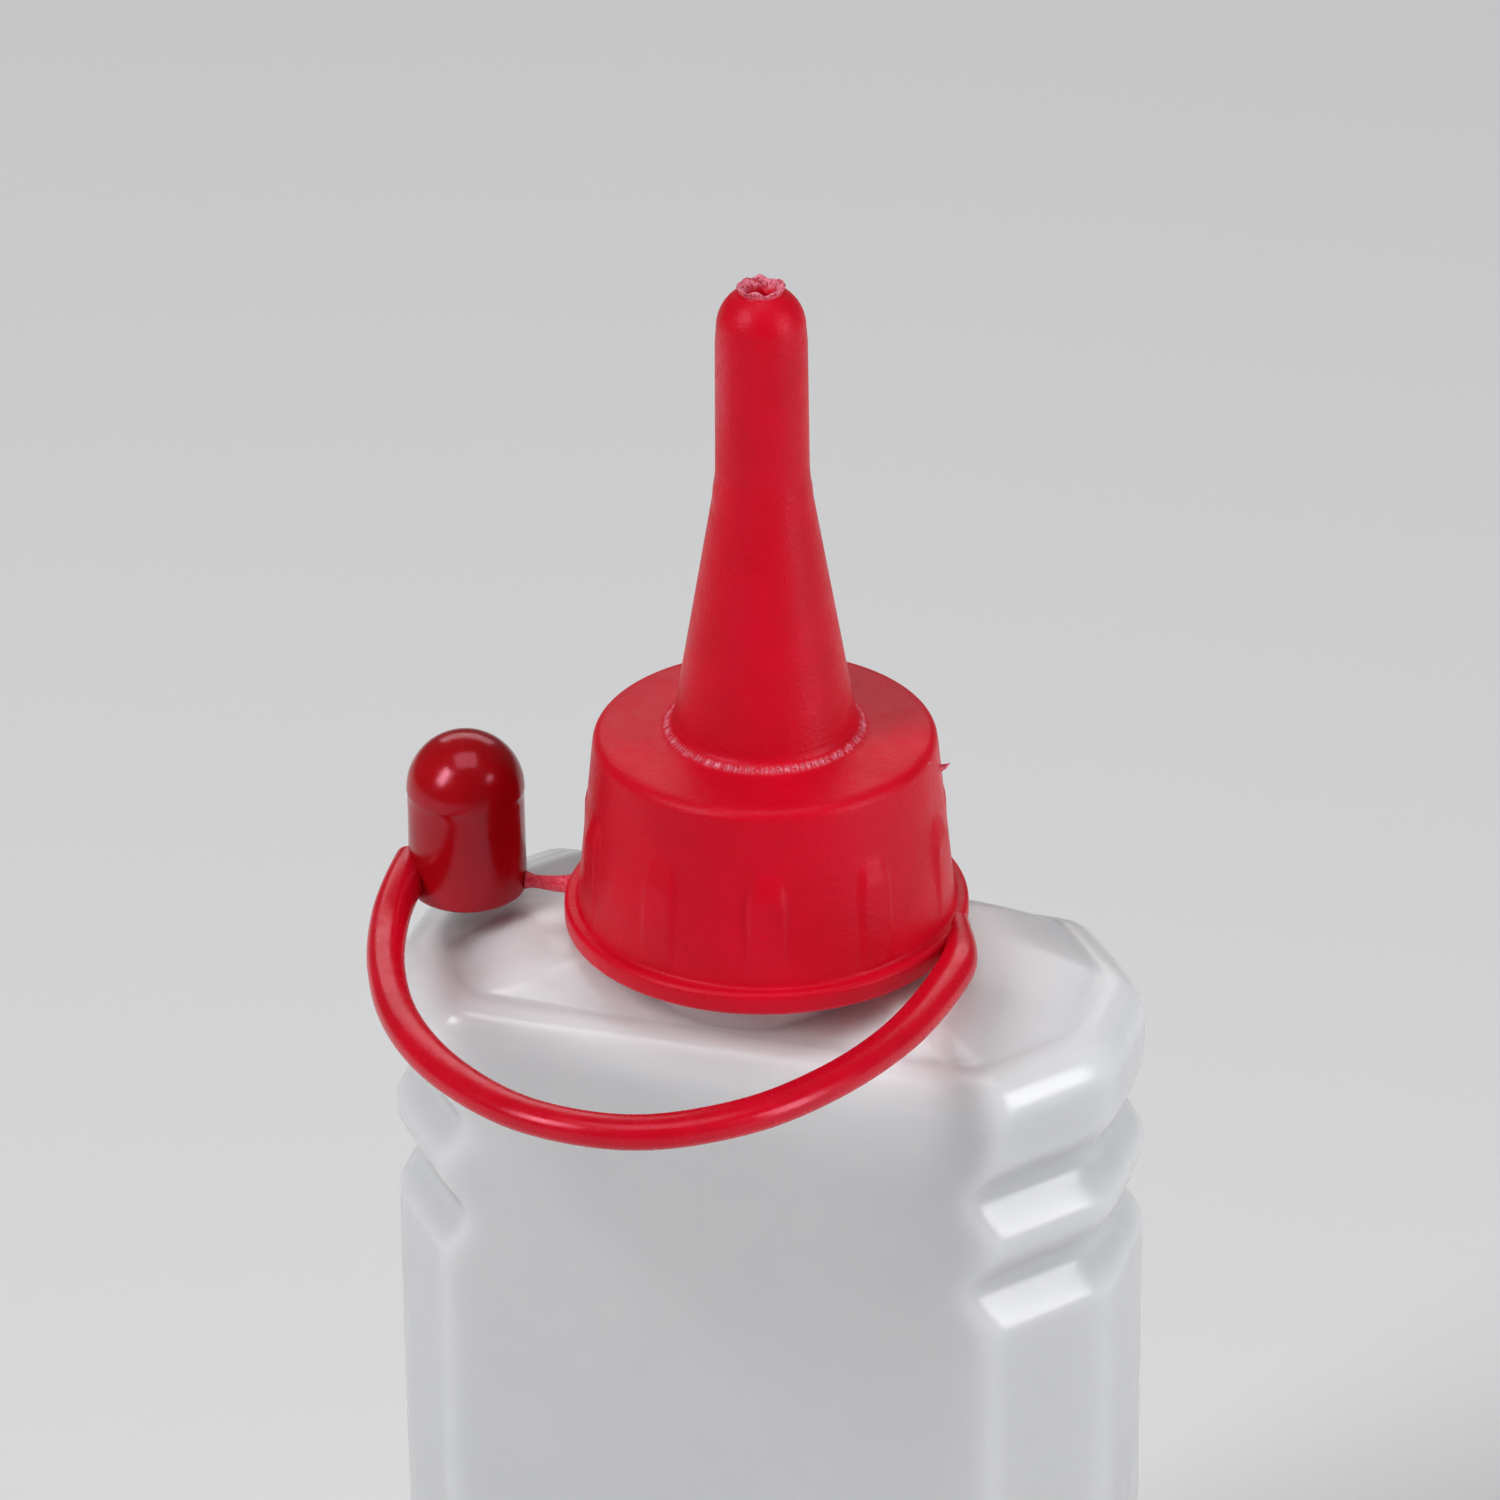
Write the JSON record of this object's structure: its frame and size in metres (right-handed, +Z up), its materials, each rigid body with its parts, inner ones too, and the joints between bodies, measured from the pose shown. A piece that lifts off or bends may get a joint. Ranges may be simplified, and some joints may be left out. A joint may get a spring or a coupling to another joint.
{
  "type": "glue applicator bottle",
  "caption": "Flat-sided squeeze bottle with waist grooves and a ribbed screw cap drawn out into a long tapered spout, with a domed tip cap on a moulded tether.",
  "frame": {"origin": "centre of the flat base, on the surface the bottle stands on", "axes": "+Z up along the neck and spout, X along the bottle's width, front towards -Y"},
  "size_m": [0.0538, 0.0488, 0.1415],
  "materials": {
    "bottle_plastic": "translucent milky polyethylene, satin gloss",
    "washer_foam": "white foamed polyethylene",
    "cap_plastic": "crimson polyethylene, satin with a fine moulded grain"
  },
  "bodies": {
    "bottle": {"bottle": "bottle_plastic"},
    "washer": {"sealing_washer": "washer_foam"},
    "cap": {"spout_cap": "cap_plastic", "break_off_tab": "cap_plastic", "tether_root": "cap_plastic"},
    "tether_1": {"tether_1": "cap_plastic"},
    "tether_2": {"tether_2": "cap_plastic"},
    "tether_3": {"tether_3": "cap_plastic"},
    "tether_4": {"tether_4": "cap_plastic"},
    "tether_5": {"tether_5": "cap_plastic"},
    "tether_6": {"tether_6": "cap_plastic"},
    "tether_7": {"tether_7": "cap_plastic"},
    "tether_8": {"tether_8": "cap_plastic"},
    "tether_9": {"tether_9": "cap_plastic"},
    "tip_cap": {"tip_cap": "cap_plastic"}
  },
  "joints": [
    {"name": "cap_lift", "type": "slide", "parent": "bottle", "child": "washer", "axis": [0, 0, 1], "range_m": [0, 0.012]},
    {"name": "cap_turn", "type": "hinge", "parent": "washer", "child": "cap", "pos_m": [0, 0, 0.1], "axis": [0, 0, 1], "range_deg": [0, 1440]},
    {"name": "tether_bend_1", "type": "hinge", "parent": "cap", "child": "tether_1", "pos_m": [0.01536, -0.00809, 0.0932], "axis": [-0.5805, 0.7835, 0.2215], "range_deg": [0, 63.69]},
    {"name": "tether_bend_2", "type": "hinge", "parent": "tether_1", "child": "tether_2", "pos_m": [0.01422, -0.01562, 0.0932], "axis": [-0.8397, 0.5279, -0.1274], "range_deg": [0, 61.62]},
    {"name": "tether_bend_3", "type": "hinge", "parent": "tether_2", "child": "tether_3", "pos_m": [0.01142, -0.02269, 0.0932], "axis": [0.4431, 0.4467, -0.7772], "range_deg": [0, 61.59]},
    {"name": "tether_bend_4", "type": "hinge", "parent": "tether_3", "child": "tether_4", "pos_m": [0.00703, -0.0287, 0.0932], "axis": [0.903, 0.3982, 0.161], "range_deg": [0, 62.99]},
    {"name": "tether_bend_5", "type": "hinge", "parent": "tether_4", "child": "tether_5", "pos_m": [0.00055, -0.03268, 0.0932], "axis": [0.4489, 0.2663, 0.8529], "range_deg": [0, 64.72]},
    {"name": "tether_bend_6", "type": "hinge", "parent": "tether_5", "child": "tether_6", "pos_m": [-0.00698, -0.03263, 0.0932], "axis": [0.2188, 0.2261, 0.9492], "range_deg": [0, 65.15]},
    {"name": "tether_bend_7", "type": "hinge", "parent": "tether_6", "child": "tether_7", "pos_m": [-0.01371, -0.02911, 0.0932], "axis": [0.3058, -0.1474, 0.9406], "range_deg": [0, 62.37]},
    {"name": "tether_bend_8", "type": "hinge", "parent": "tether_7", "child": "tether_8", "pos_m": [-0.01901, -0.02365, 0.0932], "axis": [0.1153, -0.9617, -0.2486], "range_deg": [0, 60.77]},
    {"name": "tether_bend_9", "type": "hinge", "parent": "tether_8", "child": "tether_9", "pos_m": [-0.02261, -0.01693, 0.0932], "axis": [-0.938, -0.2982, -0.1767], "range_deg": [0, 64.3]},
    {"name": "tether_bend_10", "type": "hinge", "parent": "tether_9", "child": "tip_cap", "pos_m": [-0.02475, -0.00969, 0.0932], "axis": [-0.9915, 0.1183, 0.0541], "range_deg": [0, 63.98]}
  ],
  "couplings": [
    {"joint": "cap_turn", "follows": "cap_lift", "rad_per_m": 2094.4},
    {"joint": "tether_bend_2", "follows": "tether_bend_1", "ratio": 0.96749},
    {"joint": "tether_bend_3", "follows": "tether_bend_1", "ratio": 0.96702},
    {"joint": "tether_bend_4", "follows": "tether_bend_1", "ratio": 0.989},
    {"joint": "tether_bend_5", "follows": "tether_bend_1", "ratio": 1.0162},
    {"joint": "tether_bend_6", "follows": "tether_bend_1", "ratio": 1.0229},
    {"joint": "tether_bend_7", "follows": "tether_bend_1", "ratio": 0.97927},
    {"joint": "tether_bend_8", "follows": "tether_bend_1", "ratio": 0.95415},
    {"joint": "tether_bend_9", "follows": "tether_bend_1", "ratio": 1.0096},
    {"joint": "tether_bend_10", "follows": "tether_bend_1", "ratio": 1.0046}
  ]
}
